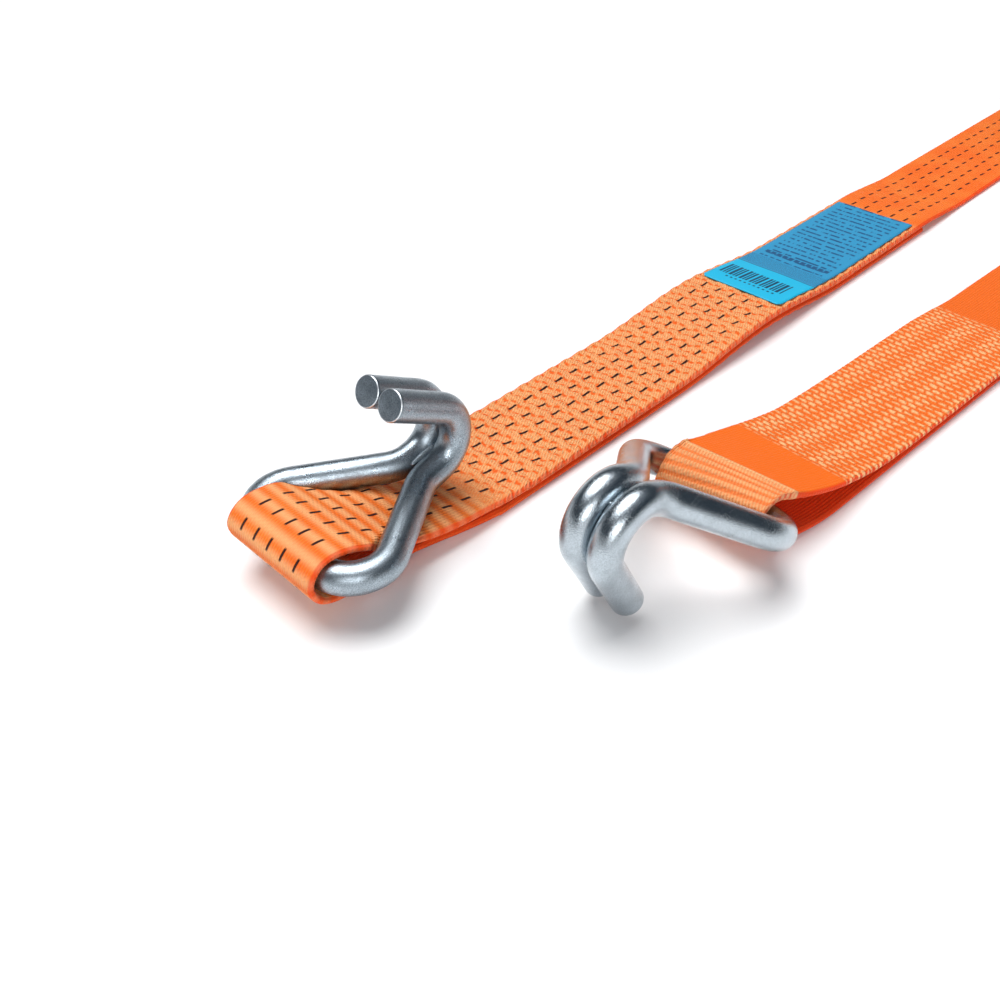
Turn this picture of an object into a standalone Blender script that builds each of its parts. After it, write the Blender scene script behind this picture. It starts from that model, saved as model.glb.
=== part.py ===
"""Ratchet tie down: a fixed end (hook, webbing, label, ratchet) and a loose end (hook, webbing, roll).

Sizes are in millimetres and become metres in to_metres(). +Y runs along the webbing from the hooks to the
ratchet, +X across it, +Z up. The tie down lies on the plane z = 0.
"""

import math

import bmesh
import bpy
import numpy as np
from mathutils import Matrix, Vector

MM = 0.001
GAP = 0.3

# Webbing
WEB_HALF = 25.0
WEB_THICK = 2.6
LOWER_PLY = WEB_THICK / 2 + 0.1
UPPER_PLY = 4.5
FIXED_TAIL = 285.0
LABEL_SPAN = (140.0, 270.0)
LABEL_HALF = 22.0
LABEL_THICK = 0.5
LIFT_SPAN = (62.0, 196.0)
LIFT = 5.0

# Layout on the floor, before the whole is centred on its box
CENTRE = (42.78, 299.26)
FIXED_BAR = (1.5, -122.0, 19.4)
FIXED_SWING = 10.6
LOOSE_BAR = (86.2, 2.7, 16.35)
LOOSE_SWING = 23.0
LOOSE_TURN = -2.5
SPINDLE_AT = (0.0, 708.0, 30.0)

# Double J hook, in its own plane: x along the bar, v away from it, w towards the claws
WIRE_R = 5.75
CORNER_X = 40.8
CLAW_X = WIRE_R + 0.15
CORNER_R = 13.4
CREST = (52.3, -8.6)
CREST_R = 16.0
BEND = (94.5, -7.5)
BEND_R = 13.3
CLAW_TIP = (48.1, 30.6)
WELD_R = 1.1
WELD_SPAN = (6.4, 7.2, 8.0)

# Ratchet, around the spindle axis
FRAME_IN, FRAME_OUT = 27.0, 30.0
WHEEL_IN, WHEEL_OUT = 30.4, 33.9
HANDLE_IN, HANDLE_OUT = 34.5, 37.5
WASHER_IN, WASHER_OUT = 38.0, 39.5
COTTER_X = 41.6
SPINDLE_HALF = 45.0
SPINDLE_R = 11.0
SLOT_HALF = 2.5
BORE_R = 11.6
WHEEL_BORE_R = SPINDLE_R + GAP
TEETH = 12
TOOTH_R, ROOT_R = 24.0, 19.0
FRAME_ARC_R = 23.8
NOTCH_R = 19.3
NOTCH_HALF = 2.1
PAWL_THICK = 3.0
PAWL_SLOT_HALF = 1.9
BOLT_AT = (-92.0, -18.0)
BOLT_R = 4.0
BOLT_HEAD_R = 8.5
SLEEVE_R = 6.5
WASHER_R = 16.0
FLOOR_Z = -SPINDLE_AT[2]
FRAME_END = -106.0

LOCK_ANGLE = 210.0
LOCK_EARS = (20.1, 30.0)
LOCK_TAIL = 36.0
LOCK_TRAVEL = 4.8
LOCK_SEAT = (47.0, 49.2)

DRIVE_TIP, DRIVE_TAIL = 24.7, 50.0
DRIVE_EARS = (31.0, 38.0)
DRIVE_TRAVEL = 4.5
DRIVE_SEAT = (62.0, 64.2)
EAR_HALF = 40.5
SPRING_R = 2.7
SPRING_WIRE_R = 0.55
SPRING_TURNS = 6

GRIP_AT = (-176.0, 2.0)
GRIP_R = 13.0
TUBE_R = 7.5
HANDLE_HUB_R = 19.0

# Roll of loose webbing
ROLL_Y = 385.0
ROLL_R = 62.0
LOOSE_TAIL = 175.0

STEEL = ((0.56, 0.60, 0.66), 0.32, 1.0)
DARK_STEEL = ((0.38, 0.41, 0.45), 0.4, 1.0)
ORANGE = ((0.90, 0.23, 0.03), 0.75, 0.0)
CYAN = ((0.10, 0.55, 0.75), 0.6, 0.0)
BLACK = ((0.03, 0.03, 0.035), 0.55, 0.0)


def clear_scene():
    for obj in list(bpy.data.objects):
        bpy.data.objects.remove(obj, do_unlink=True)


def to_metres(points):
    return [tuple(MM * value for value in point) for point in points]


def finish_material(name, look):
    colour, roughness, metallic = look
    material = bpy.data.materials.new(name)
    material.use_nodes = True
    shader = material.node_tree.nodes["Principled BSDF"]
    shader.inputs["Base Color"].default_value = (*colour, 1.0)
    shader.inputs["Roughness"].default_value = roughness
    shader.inputs["Metallic"].default_value = metallic
    return material


def new_collection(name):
    collection = bpy.data.collections.new(name)
    bpy.context.scene.collection.children.link(collection)
    return collection


def joint_empty(name, at, parent=None, turn=0.0):
    """An empty on a joint's axis, or at an assembly's reference point."""
    empty = bpy.data.objects.new(name, None)
    PARTS.objects.link(empty)
    empty.location = Vector(at) * MM
    empty.rotation_euler = (0.0, 0.0, math.radians(turn))
    empty.parent = parent
    return empty


def add_object(name, data, look, parent):
    obj = bpy.data.objects.new(name, data)
    PARTS.objects.link(obj)
    obj.parent = parent
    data.materials.append(finish_material(name, look))
    return obj


def flat_part(name, outlines, thickness, at, look, parent, across=(0, 1, 0), up=(0, 0, 1)):
    """A sheet of even thickness: the first outline is its edge and the others are holes."""
    curve = bpy.data.curves.new(name, "CURVE")
    curve.dimensions = "2D"
    curve.fill_mode = "BOTH"
    curve.extrude = MM * thickness / 2
    for outline in outlines:
        spline = curve.splines.new("POLY")
        spline.points.add(len(outline) - 1)
        for point, place in zip(spline.points, to_metres(outline)):
            point.co = (*place, 0.0, 1.0)
        spline.use_cyclic_u = True
    obj = add_object(name, curve, look, parent)
    across, up = Vector(across).normalized(), Vector(up).normalized()
    turned = Matrix((across, up, across.cross(up))).transposed().to_4x4()
    obj.matrix_local = Matrix.Translation(Vector(at) * MM) @ turned
    return obj


def wire_part(name, points, radius, look, parent, fineness=2):
    """Round wire along the points, with filled ends."""
    curve = bpy.data.curves.new(name, "CURVE")
    curve.dimensions = "3D"
    curve.bevel_depth = MM * radius
    curve.bevel_resolution = fineness
    curve.use_fill_caps = True
    spline = curve.splines.new("POLY")
    spline.points.add(len(points) - 1)
    for point, place in zip(spline.points, to_metres(points)):
        point.co = (*place, 1.0)
    return add_object(name, curve, look, parent)


def turned_part(name, profile, at, look, parent, steps=24):
    """A profile of (radius, distance) pairs turned round the X direction."""
    mesh = bpy.data.meshes.new(name)
    edges = [(i, i + 1) for i in range(len(profile) - 1)]
    mesh.from_pydata(to_metres((r, 0.0, x) for r, x in profile), edges, [])
    obj = add_object(name, mesh, look, parent)
    screw = obj.modifiers.new("turn", "SCREW")
    screw.steps = screw.render_steps = steps
    screw.use_merge_vertices = True
    screw.merge_threshold = 0.00001
    obj.location = Vector(at) * MM
    obj.rotation_euler = (0.0, math.pi / 2, 0.0)
    return obj


def ribbon_part(name, path, half_width, thickness, look, parent, shape=None, columns=2):
    """A strap: a surface along the (y, z) path, thickened by Solidify.

    shape(y, z) gives how far the strap is narrowed on each side and how far its edges droop."""
    mesh = bpy.data.meshes.new(name)
    grid = bmesh.new()
    bmesh.ops.create_grid(grid, x_segments=columns, y_segments=len(path) - 1, size=1.0)
    for vertex in grid.verts:
        across = vertex.co.x
        y, z = path[round((vertex.co.y + 1) / 2 * (len(path) - 1))]
        pinch, droop = shape(y, z) if shape else (0.0, 0.0)
        vertex.co = Vector((across * (half_width - pinch), y, z - droop * across**2)) * MM
    grid.to_mesh(mesh)
    grid.free()
    obj = add_object(name, mesh, look, parent)
    solid = obj.modifiers.new("thickness", "SOLIDIFY")
    solid.thickness = MM * thickness
    solid.offset = 0.0
    solid.use_even_offset = True
    return obj


def arc(radius, start, end, steps, centre=(0.0, 0.0)):
    """Points on an arc, angles in degrees from the first axis."""
    angles = np.radians(np.linspace(start, end, steps + 1))
    return [(centre[0] + radius * math.cos(a), centre[1] + radius * math.sin(a)) for a in angles]


def circle(radius, centre=(0.0, 0.0), steps=20):
    return arc(radius, 0.0, 360.0, steps, centre)[:-1]


def smooth(points, per_span):
    """A smooth curve (Catmull-Rom) through the points."""
    points = [np.array(p, float) for p in points]
    padded = [2 * points[0] - points[1], *points, 2 * points[-1] - points[-2]]
    curve = []
    for a, b, c, d in zip(padded, padded[1:], padded[2:], padded[3:]):
        for t in np.arange(per_span) / per_span:
            bend, twist = 2 * a - 5 * b + 4 * c - d, 3 * b - a - 3 * c + d
            curve.append(tuple(b + ((c - a) * t + bend * t**2 + twist * t**3) / 2))
    return curve + [tuple(points[-1])]


def rounded(corners, radii, steps):
    """The corners joined by straight runs, with each inner corner rounded to its radius."""
    corners = [Vector(c) for c in corners]
    route = [corners[0]]
    for before, corner, after, radius, count in zip(corners, corners[1:], corners[2:], radii, steps):
        back, ahead = (before - corner).normalized(), (after - corner).normalized()
        half = back.angle(ahead) / 2
        centre = corner + (back + ahead).normalized() * radius / math.sin(half)
        start = corner + back * radius / math.tan(half) - centre
        end = corner + ahead * radius / math.tan(half) - centre
        turn = math.pi - 2 * half
        for i in range(count + 1):
            part = turn * i / count
            route.append(centre + (start * math.sin(turn - part) + end * math.sin(part)) / math.sin(turn))
    return route + [corners[-1]]


def hook_plane(swing, claws_up):
    """The directions v and w of a hook whose legs rise by swing degrees, towards +Y if its claws are up."""
    angle = math.radians(swing)
    if claws_up:
        return Vector((0, math.cos(angle), math.sin(angle))), Vector((0, -math.sin(angle), math.cos(angle)))
    return Vector((0, -math.cos(angle), math.sin(angle))), Vector((0, -math.sin(angle), -math.cos(angle)))


def hook(prefix, parent, swing, claws_up):
    """The double J hook, one wire from claw tip to claw tip by way of the bar, and its weld."""
    out, up = hook_plane(swing, claws_up)

    def place(side, x, v, w):
        return Vector((side * x, 0, 0)) + out * v + up * w

    route = []
    for side in (1, -1):
        corners = [
            place(side, CLAW_X, *CLAW_TIP),
            place(side, CLAW_X, *BEND),
            place(side, CLAW_X, *CREST),
            place(side, CORNER_X, 0, 0),
            place(side, 0, 0, 0),
        ]
        leg = rounded(corners, (BEND_R, CREST_R, CORNER_R), (8, 4, 6))[:-1]
        route += leg if side == 1 else leg[::-1]
    wire_part(f"{prefix}_hook", route, WIRE_R, STEEL, parent, fineness=4)
    run = Vector(BEND) - Vector(CREST)
    along = run.normalized()
    groove = math.sqrt((WIRE_R + WELD_R + GAP) ** 2 - CLAW_X**2)
    seam = [Vector(CREST) + along * d + Vector((-along.y, along.x)) * groove for d in WELD_SPAN]
    wire_part(f"{prefix}_hook_weld", [place(1, 0, *point) for point in seam], WELD_R, STEEL, parent)


def lift(y):
    """How far the sewn webbing arches off the floor at y."""
    start, end = LIFT_SPAN
    part = (y - start) / (end - start)
    return LIFT * (1 - math.cos(2 * math.pi * part)) / 2 if 0 < part < 1 else 0.0


def sewn_run(start, end, height, step=12.0):
    """Stations of one ply along the sewn stretch."""
    stations = np.linspace(start, end, max(2, round(abs(end - start) / step)) + 1)
    return [(y, height + lift(y)) for y in stations]


def bump(value, start, end):
    """Rises from 0 at start to 1 half way and falls back to 0 at end."""
    part = (value - start) / (end - start)
    return math.sin(math.pi * part) ** 2 if 0 < part < 1 else 0.0


def fixed_shape(y, z):
    """The loop is drawn in between the corners of the hook, and the folded-back legs press its edges down."""
    if z < UPPER_PLY:
        return 0.0, 0.0
    around_bar = 6.2 * bump(y, -160, -86) * min(1.0, (z - UPPER_PLY) / 9)
    return max(around_bar, 5.6 * bump(y, -134, -78)), 8.8 * bump(y, -110, -79)


def loose_shape(y, z):
    """The webbing is drawn in a little where it goes round the bar."""
    return (3.6 * bump(y, -34, 44), 0.0) if z > UPPER_PLY + 1 else (0.0, 0.0)


def fixed_end(parent):
    hook_loop = smooth(
        [(-88, LOWER_PLY), (-104, LOWER_PLY), (-118, 2.8), (-127, 7), (-131.6, 14), (-131.2, 21.5),
         (-127, 27), (-120.5, 28.6), (-112, 26.0), (-103, 20.4), (-94, 15.3), (-84, 11.2), (-72, 7.8),
         (-57, 5.4), (-42, UPPER_PLY)],
        3,
    )
    step_down = [(272, UPPER_PLY), (285, UPPER_PLY), (305, 3.0), (325, LOWER_PLY), (345, LOWER_PLY)]
    bolt_y, bolt_z = SPINDLE_AT[1] + BOLT_AT[0], SPINDLE_AT[2] + BOLT_AT[1]
    loop_r = SLEEVE_R + WEB_THICK / 2 + 2 * GAP
    bolt_loop = arc(loop_r, -75, 105, 12, (bolt_y, bolt_z))
    lead_in = [(bolt_y - 40, LOWER_PLY), (bolt_y - 20, LOWER_PLY), (bolt_y - 8, 2.4), bolt_loop[0]]
    lead_out = [bolt_loop[-1], (bolt_y - 12, 16.9), (bolt_y - 26, 11.4), (bolt_y - 42, 7), (bolt_y - 58, 4.9)]
    path = (
        sewn_run(FIXED_TAIL - 6, -76, LOWER_PLY)
        + hook_loop
        + sewn_run(-30, 262, UPPER_PLY)
        + smooth(step_down, 2)
        + smooth(lead_in, 2)[:-1]
        + bolt_loop[:-1]
        + smooth(lead_out, 2)
        + [(bolt_y - 80, UPPER_PLY)]
    )
    ribbon_part("fixed_webbing", path, WEB_HALF, WEB_THICK, ORANGE, parent, fixed_shape, columns=6)
    on_top = UPPER_PLY + (WEB_THICK + LABEL_THICK) / 2 + GAP
    ribbon_part("care_label", sewn_run(*LABEL_SPAN, on_top), LABEL_HALF, LABEL_THICK, CYAN, parent)
    hook("fixed", joint_empty("fixed_hook_axis", FIXED_BAR, parent), FIXED_SWING, claws_up=True)


def frame_outline():
    """Side plate: a hub round the spindle, notched for the drive pawl, and a low arm back to the bolt."""
    step = math.degrees(math.asin(NOTCH_HALF / FRAME_ARC_R))
    edge = FRAME_ARC_R * math.cos(math.radians(step))
    return [
        (8.0, FLOOR_Z),
        (15.0, FLOOR_Z + 5.0),
        *arc(FRAME_ARC_R, -50, -step, 5),
        (NOTCH_R, -NOTCH_HALF),
        (NOTCH_R, NOTCH_HALF),
        (edge, NOTCH_HALF),
        *arc(FRAME_ARC_R, step, 180 - step, 20)[1:],
        (-NOTCH_R, NOTCH_HALF),
        (-NOTCH_R, -NOTCH_HALF),
        (-50.0, -NOTCH_HALF),
        (-58.0, -8.0),
        *arc(6.0, 90, 180, 4, (FRAME_END + 6, -14.0)),
        *arc(6.0, 180, 270, 4, (FRAME_END + 6, FLOOR_Z + 6)),
    ]


def box_outline(half, start, end):
    """The corners of a strip across the ratchet, from start to end."""
    return [(-half, start), (half, start), (half, end), (-half, end)]


def radial_box(angle, start, end, half):
    """The corners of a slot that lies along a radius."""
    along = Vector((math.cos(math.radians(angle)), math.sin(math.radians(angle))))
    side = Vector((-along.y, along.x)) * half
    corners = (along * start - side, along * end - side, along * end + side, along * start + side)
    return [tuple(corner) for corner in corners]


def wheel_outline():
    """Saw teeth: each gap has a flat floor, a steep face that the pawls hold and a sloped back."""
    pitch = 360.0 / TEETH
    points = []
    for tooth in range(TEETH):
        start = tooth * pitch
        points += arc(ROOT_R, start - 7, start + 7, 3)
        points += arc(TOOTH_R, start + 7.5, start + 13, 1)
    return points


def cross_rod(name, radius, half, at, look, parent, steps=16):
    """A round bar along X."""
    return flat_part(name, [circle(radius, steps=steps)], 2 * half, (0, *at), look, parent)


def coil(start, direction, length, side_a, side_b):
    """Points of a compression spring from start along direction."""
    count = SPRING_TURNS * 10
    start, direction = Vector(start), Vector(direction)
    side_a, side_b = Vector(side_a), Vector(side_b)
    reach = length - 2 * SPRING_WIRE_R
    points = []
    for i in range(count + 1):
        turn = 2 * math.pi * SPRING_TURNS * i / count
        round_axis = (side_a * math.cos(turn) + side_b * math.sin(turn)) * SPRING_R
        points.append(start + direction * (SPRING_WIRE_R + reach * i / count) + round_axis)
    return points


def ratchet_frame(parent):
    ears = (LOCK_EARS[0] - 0.6, LOCK_EARS[1] + LOCK_TRAVEL + 0.4)
    holes = [circle(BORE_R), circle(BOLT_R + 0.4, BOLT_AT, 12), radial_box(LOCK_ANGLE, *ears, PAWL_SLOT_HALF)]
    middle = (FRAME_IN + FRAME_OUT) / 2
    for side, label in ((-1, "left"), (1, "right")):
        thick, at = FRAME_OUT - FRAME_IN, (side * middle, 0, 0)
        flat_part(f"frame_plate_{label}", [frame_outline(), *holes], thick, at, STEEL, parent)
    inside = FRAME_IN - GAP
    floor_z = FLOOR_Z + 1.4
    flat_part("frame_floor", [box_outline(inside, -74.0, -54.0)], 2.4, (0, 0, floor_z), STEEL, parent,
              (1, 0, 0), (0, 1, 0))

    head_in, head_out = FRAME_OUT + GAP, HANDLE_IN - GAP
    bolt = [(0, head_out), (BOLT_HEAD_R, head_out), (BOLT_HEAD_R, head_in), (BOLT_R, head_in),
            (BOLT_R, -head_out), (0, -head_out)]
    turned_part("anchor_bolt", bolt, (0, *BOLT_AT), DARK_STEEL, parent)
    nut = [arc(BOLT_HEAD_R, 0, 300, 5), circle(BOLT_R + GAP, steps=16)]
    nut_at = (-(head_in + head_out) / 2, *BOLT_AT)
    flat_part("anchor_nut", nut, head_out - head_in, nut_at, DARK_STEEL, parent)
    sleeve = [circle(SLEEVE_R), circle(BOLT_R + GAP)]
    flat_part("anchor_sleeve", sleeve, 2 * (FRAME_IN - 0.6), (0, *BOLT_AT), STEEL, parent)

    along = Vector((0, math.cos(math.radians(LOCK_ANGLE)), math.sin(math.radians(LOCK_ANGLE))))
    across = Vector((1, 0, 0))
    seat = box_outline(inside, *LOCK_SEAT)
    flat_part("lock_spring_seat", [seat], 8.0, (0, 0, 0), STEEL, parent, across, along)
    room = LOCK_SEAT[0] - LOCK_TAIL - 2 * GAP
    spring = coil(along * (LOCK_TAIL + GAP), along, room, across, across.cross(along))
    wire_part("lock_pawl_spring", spring, SPRING_WIRE_R, DARK_STEEL, parent, fineness=1)

    pawl_axis = joint_empty("lock_pawl_slide_axis", (0, 0, 0), parent)
    ear = WHEEL_OUT + 0.2
    tail = 22.0
    pawl = [(-ear, LOCK_EARS[0]), (ear, LOCK_EARS[0]), (ear, LOCK_EARS[1]), (tail, LOCK_EARS[1]),
            (tail, LOCK_TAIL), (-tail, LOCK_TAIL), (-tail, LOCK_EARS[1]), (-ear, LOCK_EARS[1])]
    flat_part("lock_pawl", [pawl], PAWL_THICK, (0, 0, 0), STEEL, pawl_axis, across, along)


def spindle(parent):
    """Two half-round shafts with the webbing slot between them, toothed wheels, washers and cotter pins."""
    step = math.degrees(math.asin(SLOT_HALF / SPINDLE_R))
    for name, turn in (("upper", 0.0), ("lower", 180.0)):
        half_round = arc(SPINDLE_R, turn + step, turn + 180 - step, 14)
        half = flat_part(f"spindle_half_{name}", [half_round], 2 * SPINDLE_HALF, (0, 0, 0), STEEL, parent)
        drill_for_cotters(half)
    for side, label in ((-1, "left"), (1, "right")):
        wheel = [wheel_outline(), circle(WHEEL_BORE_R)]
        middle = side * (WHEEL_IN + WHEEL_OUT) / 2
        flat_part(f"ratchet_wheel_{label}", wheel, WHEEL_OUT - WHEEL_IN, (middle, 0, 0), STEEL, parent)
        washer = [circle(WASHER_R), circle(WHEEL_BORE_R)]
        middle = side * (WASHER_IN + WASHER_OUT) / 2
        flat_part(f"washer_{label}", washer, WASHER_OUT - WASHER_IN, (middle, 0, 0), DARK_STEEL, parent)
        eye = [(side * COTTER_X, y, z) for y, z in arc(2.6, 250, -50, 10, (0.0, 16.4))]
        pin = [(side * COTTER_X, 0, -14.5), (side * COTTER_X, 0, 13.0), *eye[1:]]
        wire_part(f"cotter_{label}", pin, 1.2, DARK_STEEL, parent)


def drill_for_cotters(obj):
    """Turns a spindle half from a curve into a mesh and cuts its two cotter holes."""
    bpy.context.view_layer.update()
    seen = obj.evaluated_get(bpy.context.evaluated_depsgraph_get())
    mesh = bpy.data.meshes.new_from_object(seen)
    loose = bmesh.new()
    loose.from_mesh(mesh)
    bmesh.ops.remove_doubles(loose, verts=loose.verts, dist=0.00001)
    loose.to_mesh(mesh)
    loose.free()
    name, parent, local = obj.name, obj.parent, obj.matrix_local.copy()
    bpy.data.objects.remove(obj, do_unlink=True)
    half = bpy.data.objects.new(name, mesh)
    PARTS.objects.link(half)
    half.parent = parent
    half.matrix_local = local
    for side in (-1, 1):
        drill_mesh = bpy.data.meshes.new("drill")
        drill = bmesh.new()
        hole = MM * 1.7
        bmesh.ops.create_cone(drill, cap_ends=True, segments=12, radius1=hole, radius2=hole, depth=MM * 40)
        drill.to_mesh(drill_mesh)
        drill.free()
        cutter = bpy.data.objects.new(f"{name}_drill", drill_mesh)
        CUTTERS.objects.link(cutter)
        cutter.parent = parent
        cutter.location = (MM * side * COTTER_X, 0, 0)
        cutter.hide_render = True
        cutter.display_type = "WIRE"
        cut = half.modifiers.new("cotter hole", "BOOLEAN")
        cut.operation = "DIFFERENCE"
        cut.object = cutter


def handle_outline():
    """Side plate of the handle: a hub round the spindle and a tapering arm to the grip."""
    grip_y, grip_z = GRIP_AT
    return [
        *arc(HANDLE_HUB_R, -150, 150, 20),
        (-60.0, 13.0),
        (-150.0, 12.0),
        *arc(GRIP_R, 90, 270, 8, GRIP_AT),
        (-150.0, grip_z - 10.0),
        (-60.0, -8.5),
    ]


def handle(parent):
    slot = [(-DRIVE_EARS[1] - 0.5, -PAWL_SLOT_HALF), (-DRIVE_EARS[0] + DRIVE_TRAVEL + 0.5, -PAWL_SLOT_HALF),
            (-DRIVE_EARS[0] + DRIVE_TRAVEL + 0.5, PAWL_SLOT_HALF), (-DRIVE_EARS[1] - 0.5, PAWL_SLOT_HALF)]
    window = [(-140.0, -2.0), (-84.0, -3.0), (-84.0, 7.0), (-140.0, 6.0)]
    middle = (HANDLE_IN + HANDLE_OUT) / 2
    shape = [handle_outline(), circle(BORE_R), slot, window]
    for side, label in ((-1, "left"), (1, "right")):
        thick, at = HANDLE_OUT - HANDLE_IN, (side * middle, 0, 0)
        flat_part(f"handle_plate_{label}", shape, thick, at, STEEL, parent)
    inside = HANDLE_IN - GAP
    cross_rod("handle_tube", TUBE_R, inside, GRIP_AT, STEEL, parent)
    grip = [circle(GRIP_R, steps=24), circle(TUBE_R + GAP)]
    flat_part("handle_grip", grip, 2 * (inside - GAP), (0, *GRIP_AT), BLACK, parent)
    across, along = Vector((1, 0, 0)), Vector((0, -1, 0))
    seat = box_outline(inside, *DRIVE_SEAT)
    flat_part("drive_spring_seat", [seat], 9.0, (0, 0, 0), STEEL, parent, across, along)
    room = DRIVE_SEAT[0] - DRIVE_TAIL - 2 * GAP
    spring = coil(along * (DRIVE_TAIL + GAP), along, room, across, across.cross(along))
    wire_part("drive_pawl_spring", spring, SPRING_WIRE_R, DARK_STEEL, parent, fineness=1)

    pawl_axis = joint_empty("drive_pawl_slide_axis", (0, 0, 0), parent)
    body, tab, shoulder = inside, 14.0, 44.0
    right_side = [(body, DRIVE_TIP), (body, DRIVE_EARS[0]), (EAR_HALF, DRIVE_EARS[0]),
                  (EAR_HALF, DRIVE_EARS[1]), (body, DRIVE_EARS[1]), (body, shoulder), (tab, shoulder),
                  (tab, DRIVE_TAIL)]
    pawl = right_side + [(-x, r) for x, r in reversed(right_side)]
    flat_part("drive_pawl", [pawl], PAWL_THICK, (0, 0, 0), STEEL, pawl_axis, across, along)


def loose_end(parent):
    """Hook, looped webbing and the roll that it ends in, with the hook's bar at y = 0."""
    lead_end = ROLL_Y - LOOSE_BAR[1] - math.sqrt(2 * ROLL_R * (WEB_THICK + 2 * GAP)) - 1.0
    loop = smooth(
        [(60, LOWER_PLY), (34, LOWER_PLY), (20, 2.2), (9, 4.0), (0.5, 6.2), (-6.5, 9.2), (-11.4, 15.5),
         (-10.4, 23.0), (-3.0, 27.0), (6, 25.6), (18, 20.6), (30, 16.0), (43, 12.2), (56, 8.8), (70, 6.2),
         (90, 5.0)],
        3,
    )
    path = (
        [(LOOSE_TAIL, LOWER_PLY), (110, LOWER_PLY)]
        + loop
        + [(120, UPPER_PLY), (150, UPPER_PLY)]
        + smooth([(174, UPPER_PLY), (192, 3.2), (210, LOWER_PLY), (230, LOWER_PLY)], 2)
        + [(lead_end, LOWER_PLY)]
    )
    ribbon_part("loose_webbing_lead", path, WEB_HALF, WEB_THICK, ORANGE, parent, loose_shape, columns=4)
    roll_y = ROLL_Y - LOOSE_BAR[1]
    cross_rod("loose_webbing_roll", ROLL_R, WEB_HALF, (roll_y, ROLL_R), ORANGE, parent, steps=48)


clear_scene()
PARTS = new_collection("ratchet_tie_down")
CUTTERS = new_collection("cutters")
WHOLE = joint_empty("tie_down", (-CENTRE[0], -CENTRE[1], 0.0))
fixed_end(WHOLE)
RATCHET = joint_empty("ratchet", SPINDLE_AT, WHOLE)
ratchet_frame(RATCHET)
spindle(joint_empty("spindle_axis", (0, 0, 0), RATCHET))
handle(joint_empty("handle_axis", (0, 0, 0), RATCHET))
LOOSE = joint_empty("loose_end", (LOOSE_BAR[0], LOOSE_BAR[1], 0.0), WHOLE, LOOSE_TURN)
loose_end(LOOSE)
hook("loose", joint_empty("loose_hook_axis", (0, 0, LOOSE_BAR[2]), LOOSE), LOOSE_SWING, claws_up=False)
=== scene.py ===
import math

import bpy
import numpy as np
from mathutils import Matrix, Vector


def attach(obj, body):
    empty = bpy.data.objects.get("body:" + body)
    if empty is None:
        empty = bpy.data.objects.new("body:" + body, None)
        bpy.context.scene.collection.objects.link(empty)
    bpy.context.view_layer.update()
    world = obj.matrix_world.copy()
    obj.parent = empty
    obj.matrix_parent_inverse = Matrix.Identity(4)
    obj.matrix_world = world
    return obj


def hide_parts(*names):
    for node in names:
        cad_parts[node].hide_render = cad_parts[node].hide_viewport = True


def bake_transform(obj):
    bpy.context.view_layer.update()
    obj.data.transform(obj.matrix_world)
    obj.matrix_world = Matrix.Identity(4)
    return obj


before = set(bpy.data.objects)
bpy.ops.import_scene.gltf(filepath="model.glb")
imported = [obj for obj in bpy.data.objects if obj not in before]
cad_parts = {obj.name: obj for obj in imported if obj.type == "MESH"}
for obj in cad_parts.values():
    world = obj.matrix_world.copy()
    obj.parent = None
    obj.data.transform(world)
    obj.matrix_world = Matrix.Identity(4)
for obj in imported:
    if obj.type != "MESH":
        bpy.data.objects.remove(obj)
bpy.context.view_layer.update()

MM = 0.001
CENTRE = np.array([42.78, 299.26, 0.0])  # the CAD's origin in the layout

# Webbing: half width and thickness, heights of the middle of its two plies, pitch of the tracer dashes
# along it and of their rows across it. Loose end: pitch of its ribs and stitch rows, and where the ribbed
# cover at its bar ends, with the slant of that end. FLOOR_GAP is the least height of any cloth.
WEB_HALF, WEB_THICK = 25.0, 2.6
LOWER, UPPER = 1.4, 4.5
TRACER_PITCH, TRACER_ROWS = 9.5, 7.8
RIB_PITCH = 3.3
COVER_END, COVER_SLANT = 8.0, 0.16
FLOOR_GAP = 0.02

# Hooks: middle of the bar, angle of the legs above the floor, and turn of the whole loose end about z.
# Corners of the legs are (distance from the bar, height towards the claws).
FIXED_BAR, FIXED_SWING = (1.5, -122.0, 19.4), 10.6
LOOSE_BAR, LOOSE_SWING, LOOSE_TURN = (86.2, 2.7, 16.35), 23.0, -2.5
LOOSE_SWING_RANGE = 120
WIRE_R = 5.75
CLAW_X = WIRE_R + 0.15
BAR_CORNER_X = 40.8
CREST, BEND, CLAW_TIP = (52.3, -8.6), (94.5, -7.5), (48.1, 30.6)
LEG_RADII = (13.3, 16.0, 13.4)

# Ratchet, roll and label.
SPINDLE = np.array([0.0, 708.0, 30.0])
ANCHOR_BACK = np.array([92.0, 18.0])  # from the anchor bolt to the spindle, along y and z
ROLL_Y, ROLL_R, ROLL_CORE = 385.0, 62.0, 13.0
LABEL_SPAN, LABEL_HALF, LABEL_THICK = (140.0, 270.0), 22.0, 0.45


# ---------------------------------------------------------------- shapes

def place(points):
    """Layout millimetres to metres around the CAD's origin."""
    return (np.asarray(points, float) - CENTRE) * MM


def loose_place(points):
    """The same for points in the loose end's frame: y = 0 at its bar, turned a little about z."""
    turn = math.radians(LOOSE_TURN)
    x, y, z = np.moveaxis(np.asarray(points, float), -1, 0)
    turned = [x * math.cos(turn) - y * math.sin(turn), x * math.sin(turn) + y * math.cos(turn), z]
    return place(np.stack(turned, -1) + np.array([LOOSE_BAR[0], LOOSE_BAR[1], 0.0]))


def bump(value, start, end):
    """sin squared of half a turn between start and end, and 0 outside."""
    part = np.clip((np.asarray(value, float) - start) / (end - start), 0.0, 1.0)
    return np.sin(np.pi * part) ** 2


def step(value, start, end):
    """Smooth step from 0 at start to 1 at end."""
    part = np.clip((np.asarray(value, float) - start) / (end - start), 0.0, 1.0)
    return part * part * (3 - 2 * part)


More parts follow.
